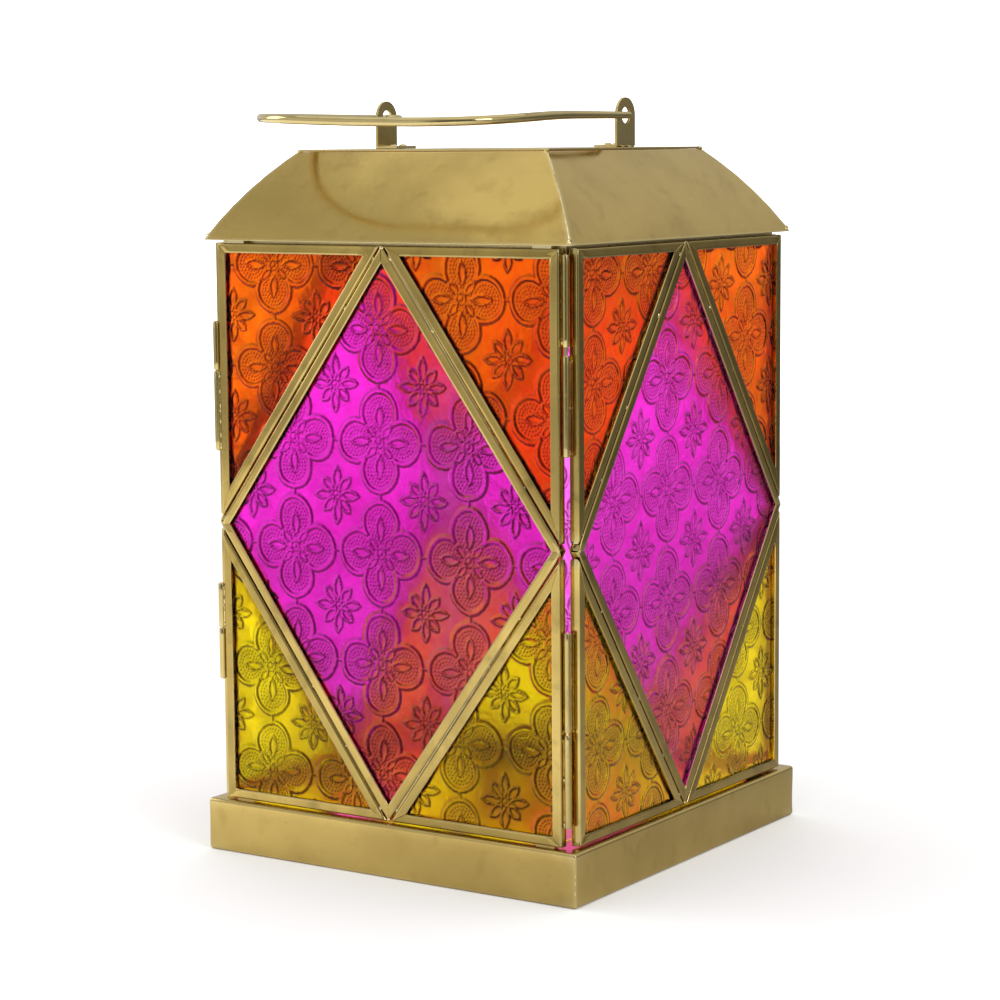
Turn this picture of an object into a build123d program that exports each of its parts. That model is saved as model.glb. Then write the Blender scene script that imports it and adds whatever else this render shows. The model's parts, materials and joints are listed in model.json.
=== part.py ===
from build123d import *
import os
from math import hypot

# Candle lantern, millimetres. +Z is up, the origin is the centre of the face it rests on,
# and the front panel faces -Y. The front and back panels are fixed, the left and right
# panels are doors hinged at the front corners, and the handle swings on two lugs.

# --- plinth ---
PLINTH_HALF = 95.0        # half the side of the square plinth
PLINTH_HEIGHT = 23.0      # top of the ledge the panels stand on
SHEET = 1.2               # sheet brass of the plinth, lugs and top plate
LEDGE_WIDTH = 16.0        # flange turned in at the top of the plinth
LIP_WIDTH = 6.0           # flange turned in at the bottom of the plinth
FLOOR_THICKNESS = 1.0
FLOOR_CLEARANCE = 0.3     # floor plate to plinth wall

# --- panels ---
PANEL_FACE = 92.0         # outer face of every panel, from the centre
PANEL_HALF = 86.2         # half the width of a panel
PANEL_LOW = 23.8
PANEL_HIGH = 266.0
CHANNEL_DEPTH = 4.7       # glazing channel, through the panel
CHANNEL_FACE = 4.2        # glazing channel, as seen from the front
CHANNEL_WEB = 0.7
GROOVE_WIDTH = 3.1
GLASS_INSET = 2.2         # glass edge from the outside of its channel
GLASS_THICKNESS = 2.9
DIAMOND_OVERRUN = 1.3     # the diamond's side tips are trimmed flush with the panel
SEAM_GAP = 0.8            # between the diamond and the corner triangles
TAB_LENGTH = 9.0          # solder tabs that hold the fixed panels
TAB_DEPTH = 3.0

# --- roof ---
EAVE_HALF = 92.8
EAVE_Z = 267.2
CROWN_HALF = 63.5
CROWN_Z = 305.3
CROWN_THICKNESS = 1.0
ROOF_SHEET = 1.0
ROOF_BULGE = 1.9          # rise of the curved roof sheet over its chord
RING_HALF = 90.8          # frame soldered inside the eave
RING_WIDTH = 9.0
RING_THICKNESS = 1.0

# --- handle and lugs ---
LUG_WIDTH = 15.0
LUG_FACE = 62.8           # outer face of each lug, from the centre
LUG_FOOT = 11.5
LUG_HOLE_RADIUS = 3.5
PIVOT_Z = 318.8
RIVET_SHANK = 1.0
RIVET_HOLE = 1.05
RIVET_HEAD = 1.8
RIVET_HEAD_HEIGHT = 0.8
RIVET_SPREAD = 3.6        # rivets either side of the lug's middle
RIVET_INSET = 4.5         # rivets from the free end of the lug's foot
WIRE_END = 1.5            # wire radius at the pivots
WIRE_MIDDLE = 1.9         # wire radius along the grip
ARM_X = 65.0              # centre line of the arms
TAIL_X = 59.5             # centre line of the turned-in tails
TAIL_LENGTH = 7.0
HOOK_BEND = 2.2
ARM_TAPER_START = 6.0
GRIP_REACH = 113.0        # centre line of the grip from the pivot
GRIP_CORNER = 40.0

# --- hinges ---
BARREL_RADIUS = 1.45
BARREL_BORE = 0.8
PIN_RADIUS = 0.75
PIN_OVERHANG = 0.3
HINGE_X = 88.0
RIGHT_HINGE_Y = -89.3
LEFT_HINGE_Y = -91.4
WEB_HALF = 0.6            # solder web between a barrel and its panel
WEB_BITE = 1.1            # where the web starts, from the barrel's axis
# barrels as fractions of the panel height below its top: (upper end, lower end, on the door)
RIGHT_BARRELS = (
    (0.010, 0.161, False),
    (0.175, 0.342, True),
    (0.636, 0.804, True),
    (0.809, 0.967, False),
)
LEFT_BARRELS = (
    (0.139, 0.225, True),
    (0.227, 0.368, False),
    (0.609, 0.689, False),
    (0.691, 0.782, True),
)

# --- inside ---
CUP_RADIUS = 21.3
CUP_WALL = 0.8
CUP_HEIGHT = 14.0
CUP_BEAD = 0.9
STOP_GAP = 0.3            # door's inner face to its stop
STOP_THICKNESS = 0.9
STOP_LENGTH = 14.0
STOP_HEIGHT = 4.8
STOP_FOOT = 5.0
STOP_FROM_BACK = 8.0

PANEL_MIDDLE = (PANEL_LOW + PANEL_HIGH) / 2
PANEL_RISE = (PANEL_HIGH - PANEL_LOW) / 2
LEDGE_UNDERSIDE = PLINTH_HEIGHT - SHEET
SIDES = (("front", 0), ("right", 90), ("back", 180), ("left", 270))
SIGNS = (-1, 1)


def save(node, solids):
    """Write one sub-part, a solid or a group of separate solids, to its own file."""
    group = [piece.solid() for piece in solids]
    shape = group[0] if len(group) == 1 else Compound(group)
    export_step(shape, f"parts/{node}.step")


def inset(corners, distance):
    """Corners of a convex outline moved inwards by a distance, listed anticlockwise."""
    lines = []
    count = len(corners)
    for i in range(count):
        (ax, az), (bx, bz) = corners[i], corners[(i + 1) % count]
        length = hypot(bx - ax, bz - az)
        nx, nz = -(bz - az) / length, (bx - ax) / length
        lines.append((nx, nz, nx * ax + nz * az + distance))
    moved = []
    for i in range(count):
        ax, az, a = lines[i - 1]
        bx, bz, b = lines[i]
        cross = ax * bz - az * bx
        moved.append(((a * bz - b * az) / cross, (ax * b - bx * a) / cross))
    return moved


def upright_prism(corners, y_low, y_high):
    """Prism with an outline in X and Z, from y_low to y_high."""
    outline = Polyline(*[(x, y_low, z) for x, z in corners], close=True)
    return extrude(make_face(outline.edges()), amount=y_high - y_low, dir=(0, 1, 0))


def plan_prism(corners, z_low, z_high):
    """Prism with an outline in X and Y, from z_low to z_high."""
    outline = Polyline(*[(x, y, z_low) for x, y in corners], close=True)
    return extrude(make_face(outline.edges()), amount=z_high - z_low, dir=(0, 0, 1))


def block(x_low, x_high, y_low, y_high, z_low, z_high):
    """Box given by its two ends along each axis."""
    corners = ((x_low, y_low), (x_high, y_low), (x_high, y_high), (x_low, y_high))
    return plan_prism(corners, z_low, z_high)


def square_ring(outer, inner, z_low, z_high):
    """Flat square ring, given by its outer and inner half sides."""
    return block(-outer, outer, -outer, outer, z_low, z_high) - block(
        -inner, inner, -inner, inner, z_low, z_high
    )


def rod(x, y, z_low, z_high, radius):
    """Upright round rod."""
    return Pos(x, y, (z_low + z_high) / 2) * Cylinder(radius, z_high - z_low)


def turned(solids, angle):
    """Copies of solids turned about the lantern's middle."""
    return [Rot(0, 0, angle) * piece for piece in solids]


# ---------------------------------------------------------------- panels
def diamond_outline():
    """Corners of the middle diamond, running just past the panel's sides."""
    wide = PANEL_HALF + DIAMOND_OVERRUN
    return [
        (0, PANEL_LOW),
        (wide, PANEL_MIDDLE),
        (0, PANEL_HIGH),
        (-wide, PANEL_MIDDLE),
    ]


def triangle_outline(side, level):
    """Corner triangle left outside the diamond, for a side and level of -1 or 1."""
    wide = PANEL_HALF + DIAMOND_OVERRUN
    shift = SEAM_GAP * hypot(1 / wide, 1 / PANEL_RISE)
    along_side = PANEL_RISE * (1 + shift - PANEL_HALF / wide)
    along_end = wide * shift
    corners = [
        (side * PANEL_HALF, PANEL_MIDDLE + level * along_side),
        (side * PANEL_HALF, PANEL_MIDDLE + level * PANEL_RISE),
        (side * along_end, PANEL_MIDDLE + level * PANEL_RISE),
    ]
    return corners if side * level > 0 else corners[::-1]


def channel_bars(corners):
    """Mitred U-channel bars round an outline, one solid to a side, open towards the glass."""
    inner = inset(corners, CHANNEL_FACE)
    groove = inset(corners, CHANNEL_WEB)
    beyond = inset(corners, CHANNEL_FACE + CHANNEL_WEB)
    back = CHANNEL_DEPTH - PANEL_FACE
    skin = (CHANNEL_DEPTH - GROOVE_WIDTH) / 2
    bars = []
    for i in range(len(corners)):
        j = (i + 1) % len(corners)
        bar = upright_prism([corners[i], corners[j], inner[j], inner[i]], -PANEL_FACE, back)
        slot_corners = [groove[i], groove[j], beyond[j], beyond[i]]
        bar -= upright_prism(slot_corners, skin - PANEL_FACE, back - skin)
        bars.append(bar)
    return bars


def pane(corners):
    """Glass pane whose edges sit in the channels' grooves."""
    middle = CHANNEL_DEPTH / 2 - PANEL_FACE
    half = GLASS_THICKNESS / 2
    return upright_prism(inset(corners, GLASS_INSET), middle - half, middle + half)


def panel_pieces():
    """The front panel's sub-parts, by name."""
    limit = block(
        -PANEL_HALF, PANEL_HALF, -PANEL_FACE, CHANNEL_DEPTH - PANEL_FACE, PANEL_LOW, PANEL_HIGH
    )
    diamond = diamond_outline()
    pieces = {
        "frame_diamond": [bar & limit for bar in channel_bars(diamond)],
        "glass_diamond": [pane(diamond)],
    }
    for level, level_name in ((1, "upper"), (-1, "lower")):
        for side, side_name in ((-1, "left"), (1, "right")):
            corners = triangle_outline(side, level)
            pieces[f"frame_{level_name}_{side_name}"] = channel_bars(corners)
            pieces[f"glass_{level_name}_{side_name}"] = [pane(corners)]
    return pieces


def solder_tabs():
    """Tabs above and below the two fixed panels that join them to the ring and the ledge."""
    tabs = []
    inner = CHANNEL_DEPTH - PANEL_FACE
    x_outer = PANEL_HALF - CHANNEL_FACE
    for side in SIGNS:
        ends = sorted((side * (x_outer - TAB_LENGTH), side * x_outer))
        for z_low, z_high in ((PLINTH_HEIGHT, PANEL_LOW), (PANEL_HIGH, EAVE_Z)):
            tabs.append(block(*ends, inner - TAB_DEPTH, inner, z_low, z_high))
    return tabs + turned(tabs, 180)


# ---------------------------------------------------------------- plinth
def plinth():
    """Square skirt with a ledge turned in at its top and a lip at its bottom."""
    inside = PLINTH_HALF - SHEET
    skirt = square_ring(PLINTH_HALF, inside, 0, PLINTH_HEIGHT)
    skirt += square_ring(PLINTH_HALF, PLINTH_HALF - LEDGE_WIDTH, LEDGE_UNDERSIDE, PLINTH_HEIGHT)
    skirt += square_ring(PLINTH_HALF, PLINTH_HALF - LIP_WIDTH, 0, SHEET)
    return skirt


def floor_plate():
    """Flat floor soldered under the ledge."""
    half = PLINTH_HALF - SHEET - FLOOR_CLEARANCE
    return block(-half, half, -half, half, LEDGE_UNDERSIDE - FLOOR_THICKNESS, LEDGE_UNDERSIDE)


def candle_cup():
    """Shallow round cup with a beaded rim, in the middle of the floor."""
    base = LEDGE_UNDERSIDE
    cup = rod(0, 0, base, base + CUP_HEIGHT, CUP_RADIUS)
    cup -= rod(0, 0, base + CUP_WALL, base + CUP_HEIGHT, CUP_RADIUS - CUP_WALL)
    bead = Pos(0, 0, base + CUP_HEIGHT) * Torus(CUP_RADIUS, CUP_BEAD)
    bead -= rod(0, 0, base, base + CUP_HEIGHT + 2 * CUP_BEAD, CUP_RADIUS - CUP_WALL)
    return cup + bead


def door_stops():
    """Angle tabs on the ledge that the two doors close against."""
    face = PANEL_FACE - CHANNEL_DEPTH - STOP_GAP
    y_high = PANEL_HALF - STOP_FROM_BACK
    y_low = y_high - STOP_LENGTH
    top = PLINTH_HEIGHT + STOP_HEIGHT
    stop = block(face - STOP_THICKNESS, face, y_low, y_high, PLINTH_HEIGHT, top)
    foot_top = PLINTH_HEIGHT + STOP_THICKNESS
    stop += block(face - STOP_FOOT, face, y_low, y_high, PLINTH_HEIGHT, foot_top)
    return [stop, mirror(stop, about=Plane.YZ)]


# ---------------------------------------------------------------- roof
def roof_panel():
    """The front roof sheet: an arched strip mitred to its neighbours along both hips."""
    low, high = Vector(0, -EAVE_HALF, EAVE_Z), Vector(0, -CROWN_HALF, CROWN_Z)
    chord = high - low
    outward = Vector(0, -chord.Z, chord.Y).normalized()
    crest = low + chord / 2 + outward * ROOF_BULGE
    inwards = outward * -ROOF_SHEET
    outer = ThreePointArc(low, crest, high)
    inner = ThreePointArc(low + inwards, crest + inwards, high + inwards)
    top_edge = Line(high, high + inwards)
    bottom_edge = Line(low + inwards, low)
    section = make_face([line.edge() for line in (outer, top_edge, inner, bottom_edge)])
    strip = extrude(section, amount=EAVE_HALF, dir=(1, 0, 0), both=True)
    reach = EAVE_HALF + ROOF_BULGE
    mitres = ((0, 0), (-reach, -reach), (reach, -reach))
    return strip & plan_prism(mitres, EAVE_Z, CROWN_Z - CROWN_THICKNESS)


def rivet_places():
    """Plan positions of the four rivets."""
    x = LUG_FACE - LUG_FOOT + RIVET_INSET
    return [(side * x, end * RIVET_SPREAD) for side in SIGNS for end in SIGNS]


def crown_plate():
    """Flat square plate on top of the roof, drilled for the lug rivets."""
    half = CROWN_HALF
    plate = block(-half, half, -half, half, CROWN_Z - CROWN_THICKNESS, CROWN_Z)
    for x, y in rivet_places():
        plate -= rod(x, y, CROWN_Z - CROWN_THICKNESS, CROWN_Z, RIVET_HOLE)
    return plate


def eave_ring():
    """Four mitred strips soldered inside the eave, for the fixed panels to hang from."""
    outer, inner = RING_HALF, RING_HALF - RING_WIDTH
    corners = ((-outer, -outer), (outer, -outer), (inner, -inner), (-inner, -inner))
    strip = plan_prism(corners, EAVE_Z, EAVE_Z + RING_THICKNESS)
    return [Rot(0, 0, angle) * strip for _, angle in SIDES]


# ---------------------------------------------------------------- lugs and handle
def right_lug():
    """Bent strap with a round head, an eye for the handle and a riveted foot."""
    half = LUG_WIDTH / 2
    inner = LUG_FACE - SHEET
    upright = block(inner, LUG_FACE, -half, half, CROWN_Z, PIVOT_Z)
    turn = Pos(LUG_FACE - SHEET / 2, 0, PIVOT_Z) * Rot(0, 90, 0)
    upright += turn * Cylinder(half, SHEET)
    upright -= turn * Cylinder(LUG_HOLE_RADIUS, SHEET)
    foot = block(LUG_FACE - LUG_FOOT, LUG_FACE, -half, half, CROWN_Z, CROWN_Z + SHEET)
    lug = upright + foot
    bend = lug.edges().filter_by(Axis.Y).sort_by(Axis.Z)[:2].sort_by(Axis.X)[-1]
    lug = fillet(bend, SHEET)
    for x, y in rivet_places():
        if x > 0:
            lug -= rod(x, y, CROWN_Z, CROWN_Z + SHEET, RIVET_HOLE)
    return lug


def rivets():
    """Rivets through the lugs' feet and the crown plate, headed on both sides."""
    foot_top = CROWN_Z + SHEET
    underside = CROWN_Z - CROWN_THICKNESS
    pieces = []
    for x, y in rivet_places():
        rivet = rod(x, y, underside, foot_top, RIVET_SHANK)
        rivet += rod(x, y, foot_top, foot_top + RIVET_HEAD_HEIGHT, RIVET_HEAD)
        rivet += rod(x, y, underside - RIVET_HEAD_HEIGHT, underside, RIVET_HEAD)
        pieces.append(rivet)
    return pieces


def wire(path, radius):
    """Round wire along a path."""
    start = Plane(origin=path @ 0, z_dir=path % 0)
    return sweep(start * Circle(radius), path=path)


def handle():
    """Bail handle: a tapered wire bow whose ends step inwards through the lugs' eyes."""
    z = PIVOT_Z
    tail_end = (TAIL_X, TAIL_LENGTH, z)
    tail_bend = (TAIL_X, HOOK_BEND, z)
    eye_in = (TAIL_X + HOOK_BEND, 0, z)
    eye_out = (ARM_X - HOOK_BEND, 0, z)
    arm_bend = (ARM_X, -HOOK_BEND, z)
    taper_start = (ARM_X, -ARM_TAPER_START, z)
    arm_end = (ARM_X, GRIP_CORNER - GRIP_REACH, z)
    grip_end = (ARM_X - GRIP_CORNER, -GRIP_REACH, z)
    hook = Line(tail_end, tail_bend) + TangentArc(tail_bend, eye_in, tangent=(0, -1, 0))
    hook += Line(eye_in, eye_out) + TangentArc(eye_out, arm_bend, tangent=(1, 0, 0))
    hook += Line(arm_bend, taper_start)
    side = wire(hook, WIRE_END)
    length = GRIP_REACH - GRIP_CORNER - ARM_TAPER_START
    along = Plane(origin=taper_start, z_dir=(0, -1, 0))
    side += Solid.make_cone(WIRE_END, WIRE_MIDDLE, length, along)
    corner = TangentArc(arm_end, grip_end, tangent=(0, -1, 0))
    side += wire(corner + Line(grip_end, (0, -GRIP_REACH, z)), WIRE_MIDDLE)
    return side + mirror(side, about=Plane.YZ)


# ---------------------------------------------------------------- hinges
def barrel_ends(upper, lower):
    """Lower and upper Z of a barrel given as fractions below the panel's top."""
    height = PANEL_HIGH - PANEL_LOW
    return PANEL_HIGH - lower * height, PANEL_HIGH - upper * height


def barrel(side, axis_y, upper, lower, on_door):
    """Hinge tube with a solder web to the door's edge or to the front panel's edge."""
    z_low, z_high = barrel_ends(upper, lower)
    tube = rod(HINGE_X, axis_y, z_low, z_high, BARREL_RADIUS)
    if on_door:
        x_low, x_high = HINGE_X - WEB_HALF, HINGE_X + WEB_HALF
        y_low, y_high = axis_y + WEB_BITE, -PANEL_HALF
    else:
        x_low, x_high = PANEL_HALF, HINGE_X - WEB_BITE
        y_low, y_high = axis_y - WEB_HALF, axis_y + WEB_HALF
    tube += block(x_low, x_high, y_low, y_high, z_low, z_high)
    tube -= rod(HINGE_X, axis_y, z_low, z_high, BARREL_BORE)
    return tube if side > 0 else mirror(tube, about=Plane.YZ)


def hinge_pins(side, axis_y, barrels):
    """One pin through each pair of barrels."""
    pins = []
    for upper, lower in ((barrels[0], barrels[1]), (barrels[2], barrels[3])):
        z_high = barrel_ends(upper[0], upper[1])[1] + PIN_OVERHANG
        z_low = barrel_ends(lower[0], lower[1])[0] - PIN_OVERHANG
        pins.append(rod(side * HINGE_X, axis_y, z_low, z_high, PIN_RADIUS))
    return pins


def build():
    os.makedirs("parts", exist_ok=True)
    save("plinth", [plinth()])
    save("floor_plate", [floor_plate()])
    save("candle_cup", [candle_cup()])
    save("door_stops", door_stops())
    save("solder_tabs", solder_tabs())
    panel = panel_pieces()
    sheet = roof_panel()
    for side, angle in SIDES:
        for name, solids in panel.items():
            save(f"{side}_{name}", turned(solids, angle))
        save(f"roof_panel_{side}", turned([sheet], angle))
    save("crown_plate", [crown_plate()])
    save("eave_ring", eave_ring())
    lug = right_lug()
    save("lug_right", [lug])
    save("lug_left", [mirror(lug, about=Plane.YZ)])
    save("lug_rivets", rivets())
    save("handle", [handle()])
    pins = []
    for side, name, axis_y, barrels in (
        (1, "right", RIGHT_HINGE_Y, RIGHT_BARRELS),
        (-1, "left", LEFT_HINGE_Y, LEFT_BARRELS),
    ):
        made = [(barrel(side, axis_y, *spec), spec[2]) for spec in barrels]
        save(f"{name}_barrels_fixed", [tube for tube, on_door in made if not on_door])
        save(f"{name}_barrels_door", [tube for tube, on_door in made if on_door])
        pins += hinge_pins(side, axis_y, barrels)
    save("hinge_pins", pins)


build()
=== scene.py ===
"""Looks of a brass candle lantern glazed with pressed coloured glass.

Lengths inside the functions are millimetres; new_piece turns them into metres.
A panel is worked out as the front one, with x across, y inwards and z up, and is then turned
a quarter, a half or three quarters about Z to the side that it belongs to.
"""

import json
import math

import bmesh
import bpy
import numpy as np
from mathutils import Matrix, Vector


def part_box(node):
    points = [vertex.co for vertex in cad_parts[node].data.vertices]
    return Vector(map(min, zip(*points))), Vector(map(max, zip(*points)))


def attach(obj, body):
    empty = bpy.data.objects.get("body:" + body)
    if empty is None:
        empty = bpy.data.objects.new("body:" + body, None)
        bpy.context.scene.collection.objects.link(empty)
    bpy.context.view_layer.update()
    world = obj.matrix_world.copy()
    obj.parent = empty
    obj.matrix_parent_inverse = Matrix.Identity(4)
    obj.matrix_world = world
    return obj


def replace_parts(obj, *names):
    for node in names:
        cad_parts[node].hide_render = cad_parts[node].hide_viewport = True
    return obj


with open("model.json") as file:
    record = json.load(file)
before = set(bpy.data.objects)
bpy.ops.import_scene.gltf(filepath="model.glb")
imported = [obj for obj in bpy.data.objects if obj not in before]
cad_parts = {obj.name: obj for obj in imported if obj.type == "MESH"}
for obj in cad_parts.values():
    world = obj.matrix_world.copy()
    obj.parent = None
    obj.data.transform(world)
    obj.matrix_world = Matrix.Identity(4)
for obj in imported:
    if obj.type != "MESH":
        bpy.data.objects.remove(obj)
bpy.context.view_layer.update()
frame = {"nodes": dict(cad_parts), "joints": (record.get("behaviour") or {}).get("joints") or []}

MM = 0.001
SIDES = ("front", "right", "back", "left")
SIDE_BODY = {"front": "lantern", "right": "right_door", "back": "lantern", "left": "left_door"}
QUARTER_TURNS = ((1, 0), (0, 1), (-1, 0), (0, -1))
TAU = 2 * math.pi


def box_mm(node):
    """Lowest and highest corner of a CAD node, in millimetres."""
    low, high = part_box(node)
    return np.array(low) / MM, np.array(high) / MM


# --- measures read from the frame ---
panel_box = box_mm("front_frame_diamond")
PANEL_FACE = -panel_box[0][1]
CHANNEL_DEPTH = panel_box[1][1] - panel_box[0][1]
PANEL_HALF = panel_box[1][0]
PANEL_LOW = panel_box[0][2]
PANEL_HIGH = panel_box[1][2]
PANEL_MIDDLE = (PANEL_LOW + PANEL_HIGH) / 2
PANEL_RISE = (PANEL_HIGH - PANEL_LOW) / 2
PLINTH_HALF = box_mm("plinth")[1][0]
PLINTH_HEIGHT = box_mm("plinth")[1][2]
EAVE_HALF = box_mm("roof_panel_front")[1][0]
EAVE_Z = box_mm("roof_panel_front")[0][2]
CROWN_HALF = box_mm("crown_plate")[1][0]
CROWN_LOW = box_mm("crown_plate")[0][2]
CROWN_Z = box_mm("crown_plate")[1][2]
GRIP_REACH_OUT = -box_mm("handle")[0][1]
HANDLE_HALF = box_mm("handle")[1][0]
HANDLE_TOP = box_mm("handle")[1][2]

# --- shapes ---
DIAMOND_OVERRUN = 1.3
SEAM_GAP = 0.8
CHANNEL_FACE = 4.2
FLANGE = 0.8
WEB = 0.7
FOLD_RADIUS = 0.8
GLASS_INSET = 2.2
GLASS_FRONT = 0.9
GLASS_BACK = 3.8
RELIEF_ROOM = 0.6
LEDGE_WIDTH = 16.0
LIP_WIDTH = 6.0
SHEET = 1.2
ROOF_SHEET = 1.0
ROOF_BULGE = 1.9


# ---------------------------------------------------------------- mesh tools
def grid_faces(rows, columns, wrap_rows=False, wrap_columns=False, start=0):
    """Four-sided faces of a grid of points numbered row by row, joined end to end where it wraps."""
    i = np.arange(rows if wrap_rows else rows - 1)
    j = np.arange(columns if wrap_columns else columns - 1)
    i, j = (a.ravel() for a in np.meshgrid(i, j, indexing="ij"))
    next_i, next_j = (i + 1) % rows, (j + 1) % columns
    corners = (i * columns + j, i * columns + next_j, next_i * columns + next_j, next_i * columns + j)
    return np.column_stack(corners) + start


def outward(points, groups):
    """The face groups, all turned round if the closed surface they make is inside out.

    The volume is the sum over a fan of triangles of a . (b x c) / 6."""
    volume = 0.0
    for faces in groups:
        a = points[faces[:, 0]]
        for k in range(1, faces.shape[1] - 1):
            b, c = points[faces[:, k]], points[faces[:, k + 1]]
            volume += np.einsum("ij,ij->", a, np.cross(b, c))
    return groups if volume > 0 else [faces[:, ::-1] for faces in groups]


def joined(shells):
    """Several closed shells, each (points, face groups), as one set of points and groups."""
    points, groups, start = [], [], 0
    for shell_points, shell_groups in shells:
        points.append(shell_points)
        groups += [g + start for g in outward(shell_points, shell_groups)]
        start += len(shell_points)
    return np.concatenate(points), groups


def new_piece(name, body, material, shells, sharp=math.radians(40), merge=0.0, values=None):
    """An object made of closed shells in millimetres, riding on a body. The values are named
    numbers for each point, for its material to read."""
    points, groups = joined(shells)
    mesh = bpy.data.meshes.new(name)
    loops = np.concatenate([g.ravel() for g in groups])
    sizes = np.concatenate([np.full(len(g), g.shape[1]) for g in groups])
    starts = np.concatenate([[0], np.cumsum(sizes)[:-1]])
    mesh.vertices.add(len(points))
    mesh.vertices.foreach_set("co", (points * MM).astype(np.float32).ravel())
    mesh.loops.add(len(loops))
    mesh.loops.foreach_set("vertex_index", loops.astype(np.int32))
    mesh.polygons.add(len(sizes))
    mesh.polygons.foreach_set("loop_start", starts.astype(np.int32))
    mesh.update(calc_edges=True)
    mesh.validate()
    for label, numbers in (values or {}).items():
        mesh.attributes.new(label, "FLOAT", "POINT").data.foreach_set("value", numbers.astype(np.float32))
    if merge:
        edit = bmesh.new()
        edit.from_mesh(mesh)
        bmesh.ops.remove_doubles(edit, verts=edit.verts, dist=merge * MM)
        edit.to_mesh(mesh)
        edit.free()
    mesh.shade_smooth()
    mesh.set_sharp_from_angle(angle=sharp)
    mesh.materials.append(material)
    return fitted(name, mesh, body)


def in_scene(name, data):
    """A new object in the scene, with its mesh, lamp or camera."""
    thing = bpy.data.objects.new(name, data)
    bpy.context.scene.collection.objects.link(thing)
    return thing


def fitted(name, mesh, body):
    """A piece that rides on a body."""
    piece = in_scene(name, mesh)
    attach(piece, body)
    return piece


def turned(points, side):
    """Points of the front panel turned about Z to a side, a quarter turn for each step round."""
    c, s = QUARTER_TURNS[SIDES.index(side)]
    x, y, z = points[:, 0], points[:, 1], points[:, 2]
    return np.column_stack([c * x - s * y, s * x + c * y, z])


def arc(centre, radius, start, end, steps):
    """Points of an arc in a plane, its angles in degrees."""
    angle = np.radians(np.linspace(start, end, steps))
    return np.column_stack([centre[0] + radius * np.cos(angle), centre[1] + radius * np.sin(angle)])


def mitres(corners):
    """For each corner of a convex outline, the move that brings both its sides in by 1."""
    before = corners - np.roll(corners, 1, axis=0)
    after = np.roll(corners, -1, axis=0) - corners
    before /= np.linalg.norm(before, axis=1)[:, None]
    after /= np.linalg.norm(after, axis=1)[:, None]
    side = before[:, 0] * after[:, 1] - before[:, 1] * after[:, 0]
    return (after - before) / side[:, None]


def wobble(along, length, rng, size, waves=4):
    """A smooth unevenness that closes on itself: a sum of sines with whole numbers of waves."""
    total = np.zeros_like(along)
    for k in range(1, waves + 1):
        total += np.sin(TAU * (k * along / length + rng.random())) * rng.uniform(0.4, 1.0) / math.sqrt(k)
    return size * total / waves


def hills(a, b, rng, size, waves=5, reach=3.0):
    """A smooth unevenness over two parameters: a sum of sine waves in random directions."""
    total = np.zeros_like(a)
    for _ in range(waves):
        turn = rng.uniform(0, TAU)
        rate = rng.uniform(0.4, 1.0) * reach
        total += np.sin(rate * (a * math.cos(turn) + b * math.sin(turn)) + rng.uniform(0, TAU))
    return size * total / waves


def slab(outer, inner):
    """A closed sheet between two grids of points of the same size: the second is turned over,
    and strips join their four edges."""
    rows, columns = outer.shape[:2]
    count = rows * columns
    points = np.concatenate([outer.reshape(-1, 3), inner.reshape(-1, 3)])
    index = np.arange(count).reshape(rows, columns)
    rim = np.concatenate([index[0, :-1], index[:-1, -1], index[-1, :0:-1], index[:0:-1, 0]])
    after = np.roll(rim, -1)
    strips = np.column_stack([rim, rim + count, after + count, after])
    faces = [grid_faces(rows, columns), grid_faces(rows, columns, start=count)[:, ::-1], strips]
    return points, faces


def tube(path, radii, sides=16, flat=(0.0, 0.0, 1.0)):
    """A closed round bar: circles of the given radii carried along a path, in frames that
    turn with it as little as possible, with a point at each end."""
    path = np.asarray(path, float)
    ahead = np.gradient(path, axis=0)
    ahead /= np.linalg.norm(ahead, axis=1)[:, None]
    across = np.cross(ahead, flat)
    across /= np.linalg.norm(across, axis=1)[:, None]
    over = np.cross(across, ahead)
    angle = np.arange(sides) * TAU / sides
    ring = np.cos(angle)[:, None] * across[:, None, :] + np.sin(angle)[:, None] * over[:, None, :]
    points = (path[:, None, :] + radii[:, None, None] * ring).reshape(-1, 3)
    count = len(points)
    points = np.concatenate([points, path[:1], path[-1:]])
    body = grid_faces(len(path), sides, wrap_columns=True)
    first = np.arange(sides)
    last = first + count - sides
    start_cap = np.column_stack([np.roll(first, -1), first, np.full(sides, count)])
    end_cap = np.column_stack([last, np.roll(last, -1), np.full(sides, count + 1)])
    return points, [body, start_cap, end_cap]


def revolved(profile, centre, steps=48):
    """A closed outline of (radius, height) turned about a vertical line through the centre."""
    angle = np.arange(steps) * TAU / steps
    r, z = profile[:, 0], profile[:, 1]
    x = centre[0] + np.cos(angle)[:, None] * r
    y = centre[1] + np.sin(angle)[:, None] * r
    points = np.stack([x, y, np.broadcast_to(centre[2] + z, x.shape)], axis=-1).reshape(-1, 3)
    return points, [grid_faces(steps, len(profile), wrap_rows=True, wrap_columns=True)]


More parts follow.
